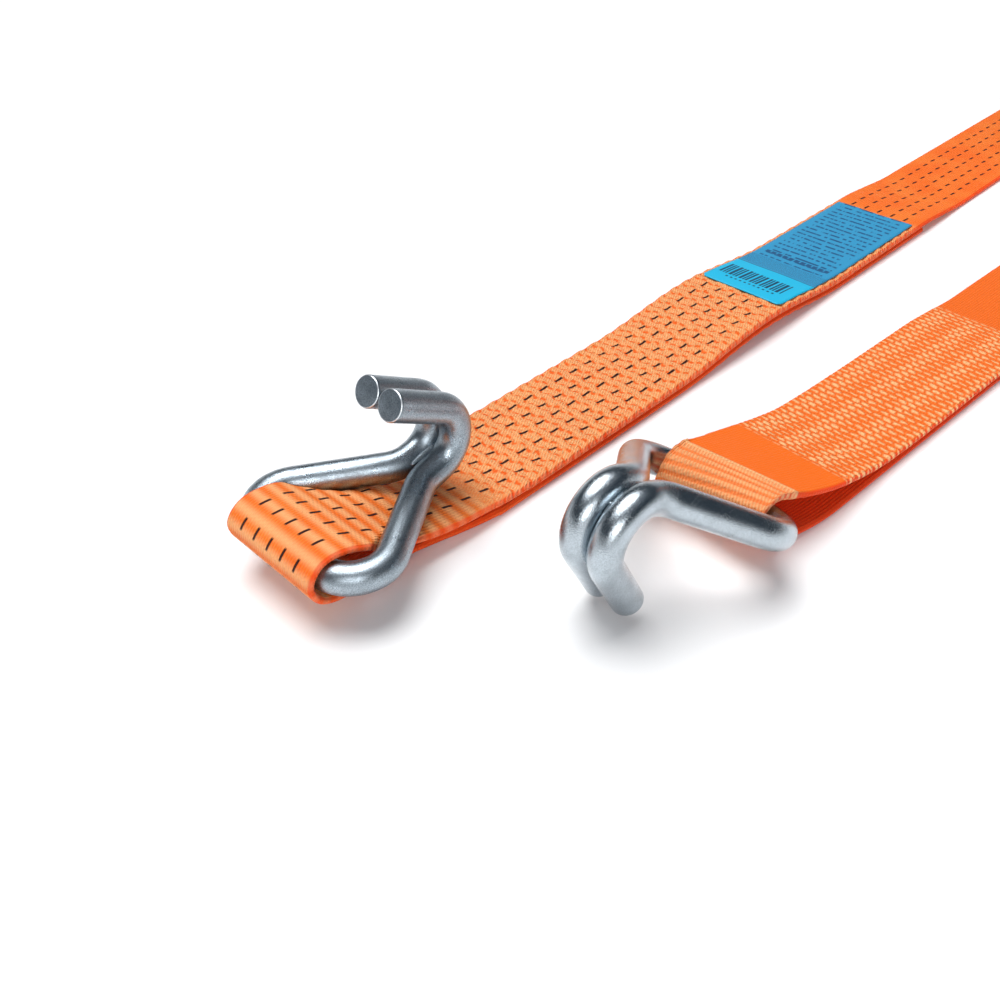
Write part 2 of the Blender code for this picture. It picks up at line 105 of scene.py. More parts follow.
def catmull(points, per_span):
    """Catmull-Rom curve through the points, per_span samples a span: a cubic whose slope at each point is
    half the step from the point before to the point after."""
    p = np.asarray(points, float)
    p = np.vstack([2 * p[0] - p[1], p, 2 * p[-1] - p[-2]])
    t = (np.arange(per_span) / per_span)[None, :, None]
    a, b, c, d = (p[i : len(p) - 3 + i, None, :] for i in range(4))
    curve = b + ((c - a) * t + (2 * a - 5 * b + 4 * c - d) * t**2 + (3 * b - a - 3 * c + d) * t**3) / 2
    return np.vstack([curve.reshape(-1, p.shape[1]), p[-2]])


def arc(radius, start, end, steps, centre=(0.0, 0.0)):
    """Points on an arc between two angles in degrees."""
    a = np.radians(np.linspace(start, end, steps + 1))
    return np.stack([centre[0] + radius * np.cos(a), centre[1] + radius * np.sin(a)], -1)


def run_length(path):
    """Distance along a path from its start."""
    return np.concatenate([[0.0], np.cumsum(np.linalg.norm(np.diff(path, axis=0), axis=1))])


def resample(path, spacing):
    """The path again with even spacing."""
    path = np.asarray(path, float)
    along = run_length(path)
    keep = np.concatenate([[True], np.diff(along) > 1e-6])
    path, along = path[keep], along[keep]
    at = np.linspace(0, along[-1], max(2, int(round(along[-1] / spacing)) + 1))
    return np.stack([np.interp(at, along, path[:, k]) for k in range(path.shape[1])], -1)


def grid_faces(rows, columns, wrap_rows, wrap_columns, flip=False):
    """Quads of a grid of rows x columns points, wrapped round where asked and turned over by flip."""
    i = np.arange(rows if wrap_rows else rows - 1)[:, None]
    j = np.arange(columns if wrap_columns else columns - 1)[None, :]
    i2, j2 = (i + 1) % rows, (j + 1) % columns
    corners = i * columns + j, i * columns + j2, i2 * columns + j2, i2 * columns + j
    quads = np.stack(np.broadcast_arrays(*corners), -1).reshape(-1, 4)
    return quads[:, ::-1] if flip else quads


def make(name, points, quads, caps=(), uv=None, wear=None):
    """A smooth mesh object from points in metres, quads and end polygons.

    uv (in millimetres) and wear are given per point; wear becomes an attribute that the steel reads."""
    mesh = bpy.data.meshes.new(name)
    faces = [tuple(q) for q in quads.tolist()] + [tuple(c) for c in caps]
    mesh.from_pydata(np.asarray(points, float).reshape(-1, 3).tolist(), [], faces)
    mesh.polygons.foreach_set("use_smooth", [True] * len(faces))
    if uv is not None:
        layer = mesh.uv_layers.new(name="cloth")
        corner = np.empty(len(mesh.loops), np.int32)
        mesh.loops.foreach_get("vertex_index", corner)
        layer.data.foreach_set("uv", np.asarray(uv, np.float32).reshape(-1, 2)[corner].ravel())
    if wear is not None:
        field = mesh.attributes.new("wear", "FLOAT", "POINT")
        field.data.foreach_set("value", np.asarray(wear, np.float32).ravel())
    mesh.validate()
    obj = bpy.data.objects.new(name, mesh)
    bpy.context.scene.collection.objects.link(obj)
    return obj


def webbing(name, path, to_world, shape, relief, start_v, outer_count=44, inner_count=14,
            wires=(), pull=(0, 0, 0), slack=0.05, ease=0):
    """A woven strap along a (y, z) path.

    The section is a flat loop with round edges: across goes from -1 to 1 on the outer face and back on the
    inner one. Its half width is WEB_HALF less the pinch, its edges droop by droop * across squared, and the
    outer face stands out by relief(u, v, y, z), where u is across in millimetres and v start_v plus the
    distance along the path. Each wire presses the cloth's middle out to its own radius, half the webbing and
    slack, and the shift is evened out along the strap ease times."""
    path = np.asarray(path, float)
    along = run_length(path)
    tangent = np.gradient(path, axis=0)
    tangent /= np.linalg.norm(tangent, axis=1)[:, None]
    normal = np.stack([-tangent[:, 1], tangent[:, 0]], -1)
    rim = np.radians(np.linspace(90, -90, 7)[1:-1])
    outer = np.linspace(-1, 1, outer_count)
    inner = np.linspace(1, -1, inner_count)
    rim_r = WEB_THICK / 2
    flat = 1 - rim_r / WEB_HALF
    across = np.concatenate([outer * flat, flat + np.cos(rim) * rim_r / WEB_HALF,
                             inner * flat, -flat - np.cos(rim[::-1]) * rim_r / WEB_HALF])
    height = rim_r * np.concatenate([np.ones(outer_count), np.sin(rim),
                                     -np.ones(inner_count), np.sin(rim[::-1])])
    pinch, droop = shape(path[:, 0], path[:, 1])
    v = along + start_v
    a, vv = np.meshgrid(across, v)
    yy, zz = path[:, 0][:, None] + 0 * a, path[:, 1][:, None] + 0 * a
    out = np.clip(height / rim_r, 0, 1)[None, :]
    lifted = height[None, :] + relief(a * WEB_HALF, vv, yy, zz) * out
    x = a * (WEB_HALF - pinch[:, None])
    y = yy + normal[:, 0][:, None] * lifted
    z = zz + normal[:, 1][:, None] * lifted - droop[:, None] * a**2
    points = np.stack([x, y, z], -1)
    middle = np.stack([x, yy, zz - droop[:, None] * a**2], -1)
    pressed = middle
    for wire in wires:
        pressed = press_out(pressed, wire, WIRE_R + rim_r + slack, pull)
    shift = pressed - middle
    for _ in range(ease):
        shift[1:-1] = (shift[:-2] + 2 * shift[1:-1] + shift[2:]) / 4
    points += shift
    points[..., 2] = np.maximum(points[..., 2], FLOOR_GAP)
    count = len(across)
    quads = grid_faces(len(path), count, False, True)
    last = (len(path) - 1) * count
    caps = [tuple(range(count)), tuple(range(last + count - 1, last - 1, -1))]
    uv = np.stack([a * WEB_HALF, vv], -1)
    return make(name, to_world(points), quads, caps, uv)


def rounded(corners, radii, count):
    """Corners joined by straight runs, with each inner corner rounded by an arc that touches both runs.

    The arc's centre lies on the corner's bisector at radius / sin(half the angle), and its points are
    blends of the two radii to its ends, weighted by sines."""
    corners = [Vector(c) for c in corners]
    route = [corners[0]]
    for before, corner, after, radius in zip(corners, corners[1:], corners[2:], radii):
        back, ahead = (before - corner).normalized(), (after - corner).normalized()
        half = back.angle(ahead) / 2
        centre = corner + (back + ahead).normalized() * radius / math.sin(half)
        start = corner + back * radius / math.tan(half) - centre
        end = corner + ahead * radius / math.tan(half) - centre
        turn = math.pi - 2 * half
        for i in range(count + 1):
            part = turn * i / count
            route.append(centre + (start * math.sin(turn - part) + end * math.sin(part)) / math.sin(turn))
    return np.array([tuple(p) for p in route + [corners[-1]]])


def tube(name, path, radius, to_world, sides, bevel=0.0):
    """Round wire: rings of cos and sin carried along the path, each turned from the last by the smallest
    angle.

    radius may vary along the path. A bevel narrows both ends in two steps; the wear attribute is then 1 on
    the bevel's rim, 0.35 on the cut face and 0 on the wire."""
    path = np.asarray(path, float)
    radius = np.broadcast_to(np.asarray(radius, float), (len(path),)).copy()
    tangent = np.gradient(path, axis=0)
    tangent /= np.linalg.norm(tangent, axis=1)[:, None]
    side = np.cross(tangent[0], [0.0, 0.0, 1.0])
    if np.linalg.norm(side) < 0.2:
        side = np.cross(tangent[0], [1.0, 0.0, 0.0])
    sides_at = [side / np.linalg.norm(side)]
    for t in tangent[1:]:
        side = sides_at[-1] - t * np.dot(sides_at[-1], t)
        sides_at.append(side / np.linalg.norm(side))
    e1 = np.array(sides_at)
    e2 = np.cross(tangent, e1)
    if bevel:
        inset = np.array([0.0, 0.3 * bevel, bevel])
        narrow = radius[0] - np.array([bevel, 0.3 * bevel, 0.0])
        front = path[0] + tangent[0] * inset[:, None]
        back = path[-1] - tangent[-1] * inset[::-1, None]
        path = np.vstack([front, path[1:-1], back])
        radius = np.concatenate([narrow, radius[1:-1], narrow[::-1]])
        e1, e2 = (np.vstack([e[:1]] * 3 + [e[1:-1]] + [e[-1:]] * 3) for e in (e1, e2))
    a = np.linspace(0, 2 * np.pi, sides, endpoint=False)
    ring = np.cos(a)[None, :, None] * e1[:, None, :] + np.sin(a)[None, :, None] * e2[:, None, :]
    points = path[:, None, :] + ring * radius[:, None, None]
    wear = np.zeros(points.shape[:2])
    if bevel:
        wear[[0, 1, -1, -2]] = [[0.35], [1.0], [0.35], [1.0]]
    quads = grid_faces(len(path), sides, False, True, flip=True)
    last = (len(path) - 1) * sides
    caps = [tuple(range(sides)), tuple(range(last + sides - 1, last - 1, -1))]
    return make(name, to_world(points), quads, caps, wear=wear)


def lathe(name, profile, at, steps=96):
    """A closed (x, radius) profile turned round the X direction at a layout point: radius times cos along y
    and sin along z."""
    profile = np.asarray(profile, float)
    a = np.linspace(0, 2 * np.pi, steps, endpoint=False)
    x, r = profile[:, 0][:, None] + 0 * a, profile[:, 1][:, None]
    points = np.stack([at[0] + x, at[1] + r * np.cos(a), at[2] + r * np.sin(a)], -1)
    return make(name, place(points), grid_faces(len(profile), steps, True, True, flip=True))


# ---------------------------------------------------------------- finishes

class Mix:
    """A material built as a sum of nodes: each method adds its nodes and returns their output, and takes
    either outputs or plain numbers."""

    def __init__(self, name):
        self.material = bpy.data.materials.new(name)
        self.material.use_nodes = True
        self.tree = self.material.node_tree
        self.shader = self.tree.nodes["Principled BSDF"]

    def node(self, kind, **settings):
        """A new node of a kind with its settings."""
        node = self.tree.nodes.new(kind)
        for key, value in settings.items():
            setattr(node, key, value)
        return node

    def join(self, socket, value):
        """Links an output to a socket, or puts a plain value on it."""
        if isinstance(value, bpy.types.NodeSocket):
            self.tree.links.new(value, socket)
        elif isinstance(value, (int, float)):
            socket.default_value = value
        else:
            socket.default_value = (*value, 1.0) if len(value) == 3 and socket.type == "RGBA" else value

    def math(self, operation, a, b=0.0, c=0.0):
        """One operation on up to three values."""
        node = self.node("ShaderNodeMath", operation=operation)
        for socket, value in zip(node.inputs, (a, b, c)):
            self.join(socket, value)
        return node.outputs[0]

    def colour(self, factor, a, b):
        """Colour a at factor 0, colour b at factor 1."""
        node = self.node("ShaderNodeMix", data_type="RGBA")
        for index, value in ((0, factor), (6, a), (7, b)):
            self.join(node.inputs[index], value)
        return node.outputs[2]

    def ramp(self, value, low, high, to_low=0.0, to_high=1.0):
        """Straight ramp of value from low..high to to_low..to_high, held at the ends."""
        node = self.node("ShaderNodeMapRange")
        for socket, part in zip(node.inputs, (value, low, high, to_low, to_high)):
            self.join(socket, part)
        return node.outputs[0]

    def within(self, value, half, soft):
        """1 where value is nearer to 0 than half, falling to 0 over the soft stretch beyond."""
        return self.ramp(self.math("ABSOLUTE", value), half, half + soft, 1.0, 0.0)

    def noise(self, scale, detail, where=None):
        """Soft noise of about 0.3 to 0.7 at a scale, over the given place or the piece's own metres."""
        node = self.node("ShaderNodeTexNoise")
        self.join(node.inputs["Scale"], scale)
        self.join(node.inputs["Detail"], detail)
        self.join(node.inputs["Roughness"], 0.55)
        if where is None:
            where = self.node("ShaderNodeTexCoord").outputs["Object"]
        self.join(node.inputs["Vector"], where)
        return node.outputs["Fac"]

    def cloth(self):
        """The piece's own map: u across and v along, in millimetres."""
        split = self.node("ShaderNodeSeparateXYZ")
        self.join(split.inputs[0], self.node("ShaderNodeTexCoord").outputs["UV"])
        return split.outputs[0], split.outputs[1]

    def vector(self, x, y):
        """A place on the piece's own map from two values."""
        node = self.node("ShaderNodeCombineXYZ")
        for socket, value in zip(node.inputs, (x, y)):
            self.join(socket, value)
        return node.outputs[0]

    def wave(self, value, pitch, shift=0.0):
        """0 to 1 sine of value with the given pitch."""
        turned = self.math("MULTIPLY_ADD", value, 2 * math.pi / pitch, shift)
        return self.math("MULTIPLY_ADD", self.math("SINE", turned), 0.5, 0.5)

    def dash(self, value, pitch, length, soft=0.15, shift=0.0):
        """1 on a stretch of the given length round every whole pitch of value plus shift, 0 between."""
        centred = self.math("PINGPONG", self.math("ADD", value, shift), pitch / 2)
        return self.ramp(centred, length / 2 - soft, length / 2 + soft, 1.0, 0.0)

    def times(self, *values):
        """Product of all values."""
        total = values[0]
        for value in values[1:]:
            total = self.math("MULTIPLY", total, value)
        return total

    def bumps(self, height, distance, strength):
        """Bends the shader's normals by a height that is distance metres at 1."""
        node = self.node("ShaderNodeBump")
        self.join(node.inputs["Height"], height)
        node.inputs["Distance"].default_value = distance
        node.inputs["Strength"].default_value = strength
        self.join(self.shader.inputs["Normal"], node.outputs[0])

    def finish(self, colour, roughness, **sockets):
        """Joins colour, roughness and the named sockets to the shader and returns the material."""
        self.join(self.shader.inputs["Base Color"], colour)
        self.join(self.shader.inputs["Roughness"], roughness)
        for name, value in sockets.items():
            self.join(self.shader.inputs[name.replace("_", " ")], value)
        return self.material


def srgb(red, green, blue):
    """Display values of 0 to 255 as linear ones."""
    c = np.array([red, green, blue]) / 255
    return tuple(np.where(c <= 0.04045, c / 12.92, ((c + 0.055) / 1.055) ** 2.4).tolist())


# Colours of the cloth, and a pitch so long that a dash of it comes once on a piece. The deeper tone is
# painted shade in hollows and also the tone of the satin's threads, the red is painted shade on the edges and
# under the bar, and the peach is a painted highlight on raised crests.
ORANGE = srgb(242, 114, 34)
WARM = srgb(245, 132, 50)
DEEP = srgb(232, 78, 18)
SHADE_RED = srgb(234, 48, 14)
HIGHLIGHT_PEACH = srgb(250, 198, 140)
SMOOTH = srgb(242, 112, 20)
TRACER = srgb(40, 8, 8)
ONCE = 400.0


def woven(m, u, v):
    """Height of the weave: a sine over u for the cords along the strap, times 0.4 to 1 by a sine over v for
    the picks, which is shifted by half its pitch from cord to cord."""
    cord_pitch, pick_pitch = 1.3, 1.6
    cord = m.wave(u, cord_pitch)
    number = m.math("FLOOR", m.math("MULTIPLY", u, 1 / cord_pitch))
    picks = m.wave(m.math("MULTIPLY_ADD", number, pick_pitch / 2, v), pick_pitch)
    return m.times(cord, m.math("MULTIPLY_ADD", picks, 0.6, 0.4))


def shaded(m, base, weave, amount):
    """The base colour, deeper by amount in the low parts of the weave: painted shade in its hollows."""
    return m.colour(m.math("MULTIPLY", m.ramp(weave, 0.0, 0.5, 1.0, 0.0), amount), base, DEEP)


def tracers(m, u, v):
    """Five rows of dashes, 1 on a dash: each row is a thin strip of u that leans a little over its dash,
    each dash takes 4.3 mm of the tracer pitch along v, and both fall to 0 past the outer rows."""
    number = m.math("ROUND", m.math("DIVIDE", v, TRACER_PITCH))
    lean = m.math("MULTIPLY_ADD", v, -0.1, m.math("MULTIPLY_ADD", number, 0.1 * TRACER_PITCH, u))
    row = m.dash(lean, TRACER_ROWS, 1.15)
    dash = m.dash(v, TRACER_PITCH, 4.3, 0.35)
    return m.times(row, dash, m.within(u, 18.5, 0.4))


def lozenges(m, u, v):
    """Height of the sewn pattern: a crest every half tracer pitch, which sways with the rows and with
    noise, or the slanting cells between, whichever is higher."""
    wander = m.math("MULTIPLY_ADD", m.noise(0.22, 2.0, m.vector(u, v)), 3.4, -1.7)
    sway = m.math("MULTIPLY_ADD", m.wave(u, TRACER_ROWS), 1.5, wander)
    crest = m.wave(m.math("ADD", v, sway), TRACER_PITCH / 2)
    cell_pitch = TRACER_ROWS / 2
    cell = m.wave(m.math("MULTIPLY_ADD", v, cell_pitch / TRACER_PITCH, u), cell_pitch)
    return m.math("MAXIMUM", m.ramp(crest, 0.04, 0.34), m.math("MULTIPLY", m.ramp(cell, 0.5, 0.9), 0.7))


def fixed_cloth():
    """Orange webbing with tracers. v reads as y on the upper ply and goes down to the bar and under it.

    Where it is sewn, small lozenges have pale hatched crests, a painted highlight, and deeper gaps, painted
    shade. Between the bar and the first stitches it has pale bands across, a painted highlight on the crests
    of the puckers. The edges and all that lies under the bar are redder, which is painted shade."""
    m = Mix("fixed webbing")
    u, v = m.cloth()
    where = m.vector(u, v)
    weave = woven(m, u, v)
    sewn_part = m.times(m.ramp(v, -62.0, -40.0), m.ramp(v, 262.0, 274.0, 1.0, 0.0))
    scale = lozenges(m, u, v)
    base = m.colour(m.ramp(m.noise(0.05, 2.0, where), 0.35, 0.7), ORANGE, WARM)
    # painted shade: the hollows of the weave go deeper
    base = shaded(m, base, weave, 0.4)
    # painted shade: the gaps between the sewn crests go deeper
    gaps = m.times(m.ramp(scale, 0.1, 0.5, 1.0, 0.0), sewn_part)
    base = m.colour(m.math("MULTIPLY", gaps, 0.5), base, DEEP)
    # painted highlight: the hatched crests of the sewn lozenges go pale peach
    hatch = m.math("MULTIPLY_ADD", m.wave(m.math("MULTIPLY_ADD", v, 0.55, u), 1.25), 0.6, 0.4)
    flecks = m.ramp(m.noise(0.9, 2.0, where), 0.3, 0.55, 0.45, 1.0)
    pale = m.times(scale, hatch, flecks, sewn_part)
    base = m.colour(m.math("MULTIPLY", pale, 0.85), base, HIGHLIGHT_PEACH)
    # painted highlight: pale bands on the crests of the puckers between the bar and the stitches
    bands = m.times(m.wave(v, 6.2, 0.6), m.ramp(v, -175.0, -150.0), m.ramp(v, -62.0, -40.0, 1.0, 0.0))
    base = m.colour(m.math("MULTIPLY", bands, 0.55), base, HIGHLIGHT_PEACH)
    # painted shade: the edges and all that lies under the bar go redder
    edge = m.ramp(m.math("ABSOLUTE", u), 23.4, 24.4)
    redder = m.math("MAXIMUM", m.ramp(v, -172.0, -160.0, 1.0, 0.0), edge)
    base = m.colour(m.math("MULTIPLY", redder, 0.6), base, SHADE_RED)
    base = m.colour(tracers(m, u, v), base, TRACER)
    m.bumps(m.math("ADD", m.math("MULTIPLY", weave, 0.6), m.math("MULTIPLY", pale, 0.9)), 0.0006, 0.9)
    return m.finish(base, 0.65, Sheen_Weight=0.04, Sheen_Roughness=0.4, Specular_IOR_Level=0.15)


def loose_cloth():
    """Orange webbing without tracers. v is 0 on top of the bar and grows along the upper ply; past is v
    beyond the slanting end of the ribbed cover.

    The cover has pale hatched ribs and a pale last row, a painted highlight on their raised crests. A smooth
    satin band follows, then rows of slanting stitches that shift from row to row, pale on the raised rows as
    a painted highlight. The edges and all that lies under the bar are redder, which is painted shade."""
    m = Mix("loose webbing")
    u, v = m.cloth()
    where = m.vector(u, v)
    weave = woven(m, u, v)
    past = m.math("ADD", m.math("MULTIPLY_ADD", u, -COVER_SLANT, v), -COVER_END)
    ribbed = m.times(m.ramp(v, -26.0, -24.0), m.ramp(past, -0.5, 0.0, 1.0, 0.0))
    smooth_band = m.times(m.ramp(past, 0.0, 0.5), m.ramp(v, 42.0, 43.0, 1.0, 0.0))
    sewn_part = m.times(m.ramp(v, 42.5, 44.0), m.ramp(v, 200.0, 203.0, 1.0, 0.0))
    slant = m.math("MULTIPLY_ADD", v, 0.45, u)
    hatch = m.wave(slant, 1.35)
    # painted highlight: the raised ribs, the raised last row and the raised stitch rows go pale peach
    ribs = m.ramp(m.wave(past, RIB_PITCH, math.pi / 2), 0.15, 0.6)
    rib_pale = m.times(ribbed, m.math("MULTIPLY_ADD", ribs, 0.55, 0.25),
                       m.math("MULTIPLY_ADD", hatch, 0.5, 0.5))
    last_row = m.times(m.dash(past, ONCE, 2.2, 0.4, 1.2), m.math("MULTIPLY_ADD", hatch, 0.3, 0.7))
    wander = m.math("MULTIPLY_ADD", m.noise(0.2, 2.0, where), 2.6, -1.3)
    wavy = m.math("ADD", v, wander)
    rows = m.dash(wavy, RIB_PITCH, 1.5, 0.45)
    number = m.math("ROUND", m.math("DIVIDE", wavy, RIB_PITCH))
    stitches = m.dash(m.math("ADD", slant, m.math("MULTIPLY", number, 1.7)), 4.4, 3.2, 0.5)
    pale = m.math("MAXIMUM", m.times(rows, stitches, sewn_part), m.math("MAXIMUM", rib_pale, last_row))
    # painted shade: the hollows of the weave go deeper
    base = shaded(m, ORANGE, weave, 0.45)
    threads = m.math("MULTIPLY_ADD", m.wave(u, 0.9), 0.5, m.math("MULTIPLY", m.noise(0.5, 3.0, where), 0.5))
    satin = m.colour(m.math("MULTIPLY", threads, 0.3), SMOOTH, DEEP)
    base = m.colour(m.math("MULTIPLY", smooth_band, 0.9), base, satin)
    # painted shade: the edges and all that lies under the bar go redder
    edge = m.ramp(m.math("ABSOLUTE", u), 24.0, 24.6)
    redder = m.math("MAXIMUM", m.ramp(v, -42.0, -30.0, 1.0, 0.0), edge)
    base = m.colour(m.math("MULTIPLY", redder, 0.75), base, SHADE_RED)
    # painted highlight: pale peach on the raised ribs, last row and stitch rows
    base = m.colour(m.math("MULTIPLY", pale, 0.85), base, HIGHLIGHT_PEACH)
    rough_weave = m.math("MULTIPLY", weave, m.math("MULTIPLY_ADD", smooth_band, -0.5, 1.0))
    m.bumps(m.math("ADD", rough_weave, m.math("MULTIPLY", pale, 0.9)), 0.0005, 0.8)
    return m.finish(base, 0.65, Sheen_Weight=0.03, Sheen_Roughness=0.4, Specular_IOR_Level=0.15)


def plain_cloth():
    """The same webbing where nothing is sewn, as on the roll."""
    m = Mix("rolled webbing")
    u, v = m.cloth()
    weave = woven(m, u, v)
    # painted shade: the hollows of the weave go deeper
    base = shaded(m, ORANGE, weave, 0.5)
    m.bumps(weave, 0.0005, 0.8)
    return m.finish(base, 0.65, Sheen_Weight=0.03, Sheen_Roughness=0.4, Specular_IOR_Level=0.15)


def label_print():
    """Blue label, with v as y on the webbing: a plain front with bars whose spacing sways by a sine and a
    row of ticks, a dark seam, then a greyed window with a speckled field, a bold row and rows of broken
    dashes."""
    m = Mix("label")
    u, v = m.cloth()
    speckle = m.noise(2.2, 2.0, m.vector(u, v))
    greyed = m.colour(m.ramp(speckle, 0.45, 0.6, 0.0, 0.35), srgb(44, 148, 194), srgb(60, 118, 150))
    base = m.colour(m.ramp(v, 171.6, 172.0), srgb(24, 178, 218), greyed)
    field = m.times(m.ramp(v, 173.0, 173.4), m.ramp(v, 184.0, 184.4, 1.0, 0.0))
    base = m.colour(m.times(m.ramp(speckle, 0.48, 0.56), field, 0.6), base, srgb(40, 72, 104))
    sway = m.math("MULTIPLY", m.math("SINE", m.math("MULTIPLY", u, 1.15)), 0.35)
    bars = m.times(m.dash(m.math("ADD", u, sway), 1.9, 1.15, 0.08),
                   m.within(m.math("ADD", u, 1.8), 17.5, 0.1), m.within(m.math("ADD", v, -156.8), 6.1, 0.1))
    ticks = m.times(m.dash(u, 2.6, 1.2), m.dash(v, ONCE, 1.3, 0.15, -148.2), m.within(u, 14.0, 0.2))
    base = m.colour(m.math("MULTIPLY", m.math("MAXIMUM", bars, ticks), 0.92), base, srgb(8, 30, 66))
    line_pitch = 4.4
    number = m.math("ROUND", m.math("DIVIDE", v, line_pitch))
    broken = m.ramp(m.noise(0.6, 1.0, m.vector(u, m.math("MULTIPLY", number, 3.7))), 0.42, 0.5)
    inside = m.within(u, 18.0, 0.5)
    rows = m.times(m.dash(v, line_pitch, 1.5, 0.15, -1.0), broken, inside, m.ramp(v, 185.0, 185.5))
    bold = m.times(m.dash(v, ONCE, 3.0, 0.2, -191.5), m.dash(u, 3.4, 2.7, 0.25), inside)
    base = m.colour(m.math("MULTIPLY", m.math("MAXIMUM", rows, bold), 0.8), base, srgb(18, 48, 98))
    seam = m.dash(v, ONCE, 0.8, 0.2, -171.8)
    base = m.colour(m.math("MULTIPLY", seam, 0.7), base, srgb(12, 62, 104))
    m.bumps(m.math("SUBTRACT", m.math("MULTIPLY", speckle, 0.2), seam), 0.0002, 0.6)
    return m.finish(base, 0.5, Specular_IOR_Level=0.3)


def zinc(name, tone, roughness, worn=False, grain=0.55):
    """Zinc plate: the tone, darker by a broad noise and, up to grain, by a fine one, with a mottle in its
    shine.

    A worn piece has duller, darker cut ends with pale rims, from its wear attribute."""
    m = Mix(name)
    fine = m.noise(2600.0, 2.0)
    broad = m.noise(140.0, 3.0)
    base = m.colour(m.ramp(broad, 0.35, 0.7), tone, tuple(0.78 * c for c in tone))
    base = m.colour(m.ramp(fine, 0.4, 0.62, 0.0, grain), base, tuple(0.4 * c for c in tone))
    rough = m.math("ADD", m.ramp(broad, 0.3, 0.7, roughness - 0.04, roughness + 0.08),
                   m.ramp(fine, 0.4, 0.7, 0.0, 0.08))
    if worn:
        rim = m.node("ShaderNodeAttribute", attribute_name="wear").outputs["Fac"]
        cut = m.times(m.ramp(rim, 0.1, 0.3), m.ramp(rim, 0.4, 0.5, 1.0, 0.0))
        dulled = m.math("MULTIPLY", cut, m.math("MULTIPLY_ADD", broad, 0.5, 0.3))
        base = m.colour(dulled, base, (0.05, 0.07, 0.09))
        base = m.colour(m.ramp(rim, 0.5, 1.0), base, (0.85, 0.88, 0.9))
        rough = m.math("ADD", rough, m.math("MULTIPLY", cut, 0.25))
    m.bumps(m.math("ADD", fine, m.math("MULTIPLY", broad, 0.8)), 0.00012, 0.7)
    return m.finish(base, rough, Metallic=1.0)


def grip_rubber():
    """Near black with a fine noise in its tone and its surface."""
    m = Mix("grip rubber")
    grain = m.noise(1500.0, 3.0)
    base = m.colour(m.ramp(grain, 0.3, 0.7), (0.018, 0.018, 0.02), (0.035, 0.035, 0.038))
    m.bumps(grain, 0.0001, 0.6)
    return m.finish(base, 0.55)


# ---------------------------------------------------------------- webbing

def lift(y):
    """How far the sewn webbing arches off the floor at y: 5 mm times sin squared between its two feet."""
    return 5.0 * bump(y, 62.0, 196.0)


def hook_directions(swing, claws_up):
    """Unit vectors away from the bar along the legs, and towards the claws."""
    a = math.radians(swing)
    if claws_up:
        return np.array([0, math.cos(a), math.sin(a)]), np.array([0, -math.sin(a), math.cos(a)])
    return np.array([0, -math.cos(a), math.sin(a)]), np.array([0, -math.sin(a), -math.cos(a)])


def hook_route(swing, claws_up, bar):
    """Centreline of the double claw hook from claw tip to claw tip, round the bar: two mirrored runs of
    corners at (side, distance along the legs, height towards the claws), rounded and joined at the bar's
    middle."""
    out, up = hook_directions(swing, claws_up)
    legs = []
    for side in (1, -1):
        flat = ((CLAW_X, *CLAW_TIP), (CLAW_X, *BEND), (CLAW_X, *CREST), (BAR_CORNER_X, 0, 0), (0, 0, 0))
        corners = [np.array([side * x, 0, 0]) + out * v + up * w for x, v, w in flat]
        legs.append(rounded(corners, LEG_RADII, 24))
    return resample(np.vstack([legs[0][:-1], legs[1][::-1]]), 1.0) + np.array(bar)


def press_out(points, wire, reach, pull):
    """Points nearer to the wire than reach are moved by what is missing, away from the wire's nearest point
    and leaning to pull. Only points up to 20 mm past the wire are looked at, in batches that fit in
    memory."""
    batch = 4000
    flat = points.reshape(-1, 3).copy()
    near = np.flatnonzero(flat[:, 1] < wire[:, 1].max() + 20)
    for part in np.array_split(near, max(1, len(near) // batch)):
        away = flat[part][:, None, :] - wire[None, :, :]
        distance = np.linalg.norm(away, axis=2)
        best = distance.argmin(1)
        gap = distance[np.arange(len(part)), best]
        direction = away[np.arange(len(part)), best] / np.maximum(gap, 1e-6)[:, None] + np.array(pull)
        direction /= np.linalg.norm(direction, axis=1)[:, None]
        flat[part] += direction * np.clip(reach - gap, 0, None)[:, None]
    return flat.reshape(points.shape)


def sewn(start, end, height):
    """Path of a sewn ply from y = start to end, a point every 4 mm: the height of its middle plus lift(y)."""
    y = np.linspace(start, end, max(2, int(abs(end - start) / 4) + 1))
    return np.stack([y, height + lift(y)], -1)


def fixed_path():
    """Middle of the fixed webbing in (y, z): the lower ply to the hook, a curve round the bar, the sewn
    upper ply, down to the floor, out to the ratchet's anchor, an arc round its sleeve and back on top."""
    loop = catmull([(-66, LOWER), (-80, 2.6), (-94, 5.4), (-107, 6.6), (-118, 7.6), (-126.4, 12.0),
                    (-129.9, 19.2), (-127.4, 24.6), (-121.6, 27.2), (-112, 25.8), (-102.5, 21.9), (-94, 18.3),
                    (-84, 15.0), (-72, 11.6), (-60, 8.4), (-46, 5.8), (-34, UPPER + 0.4)], 12)
    down = catmull([(272, UPPER), (285, UPPER), (305, 3.0), (325, LOWER), (345, LOWER)], 8)
    y, z = SPINDLE[1:] - ANCHOR_BACK
    ring = arc(8.4, -75, 105, 40, (y, z))
    lead_in = catmull([(y - 40, LOWER), (y - 20, LOWER), (y - 8, 2.4), ring[0]], 8)[:-1]
    lead_out = catmull([ring[-1], (y - 12, 16.9), (y - 26, 11.4), (y - 42, 7), (y - 58, 4.9)], 8)
    return np.vstack([sewn(279, -60, LOWER), loop, sewn(-30, 262, UPPER), down, lead_in, ring[:-1], lead_out,
                      [(y - 80, UPPER)]])


